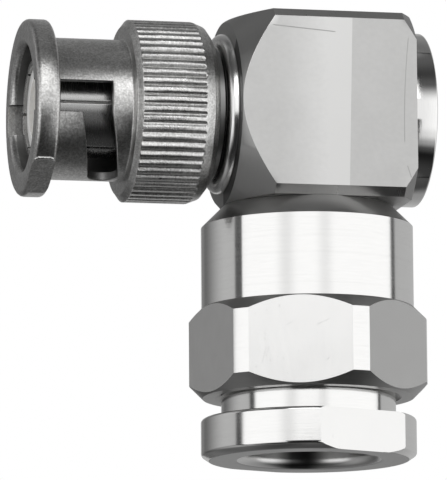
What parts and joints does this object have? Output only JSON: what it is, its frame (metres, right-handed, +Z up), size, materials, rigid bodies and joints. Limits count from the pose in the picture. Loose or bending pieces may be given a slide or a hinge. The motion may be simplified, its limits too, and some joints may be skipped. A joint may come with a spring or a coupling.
{
  "type": "right angle bayonet coaxial cable plug",
  "caption": "Right angle coaxial cable plug with a knurled bayonet coupling ring, a square angle head and a hexagon cable housing with a clamping gland nut.",
  "frame": {"origin": "centre of the gland nut's cable entry at its bottom face", "axes": "+Z up the cable axis towards the angle head, -X along the interface axis out of the coupling ring, -Y towards the head's flat front"},
  "size_m": [0.0322, 0.0186, 0.0349],
  "materials": {
    "nickel_plate": "turned brass with a bright nickel plate",
    "satin_nickel": "turned brass with a satin nickel plate",
    "gold_plate": "brass with a gold plate",
    "spring_steel": "bright spring steel",
    "rubber": "black silicone rubber",
    "white_polymer": "white fluoropolymer"
  },
  "bodies": {
    "plug_body": {"angle_head": "nickel_plate", "rear_cap": "nickel_plate", "cap_o_ring": "rubber", "cap_insulator": "white_polymer", "front_body": "nickel_plate", "front_collar": "nickel_plate", "interface_gasket": "rubber", "contact_sleeve": "nickel_plate", "front_insulator": "white_polymer", "centre_pin": "gold_plate", "rear_insulator": "white_polymer", "cable_contact": "gold_plate", "cable_insulator": "white_polymer", "cable_housing": "nickel_plate", "housing_o_ring": "rubber", "braid_clamp": "nickel_plate", "wave_washer": "spring_steel"},
    "ring_carrier": {"thrust_washer": "spring_steel"},
    "coupling_ring": {"coupling_ring": "satin_nickel", "retaining_ring": "spring_steel"},
    "gland_stack": {"slip_washer": "spring_steel", "clamp_gasket": "rubber"},
    "gland_nut": {"gland_nut": "nickel_plate"}
  },
  "joints": [
    {"name": "ring_draw", "type": "slide", "parent": "plug_body", "child": "ring_carrier", "axis": [-1, 0, 0], "range_m": [0, 0.0005], "stiffness_N_per_m": 300, "deforming": ["wave_washer"]},
    {"name": "ring_spin", "type": "hinge", "parent": "ring_carrier", "child": "coupling_ring", "pos_m": [-0.0165, 0, 0.0275], "axis": [-1, 0, 0], "continuous": true},
    {"name": "gland_travel", "type": "slide", "parent": "plug_body", "child": "gland_stack", "axis": [0, 0, 1], "range_m": [-0.0041, 0.001], "deforming": ["clamp_gasket"]},
    {"name": "gland_turn", "type": "hinge", "parent": "gland_stack", "child": "gland_nut", "pos_m": [0, 0, 0.0045], "axis": [0, 0, 1], "range_deg": [-1440, 324]}
  ],
  "couplings": [
    {"joint": "gland_travel", "follows": "gland_turn", "m_per_rad": 0.00015915}
  ]
}
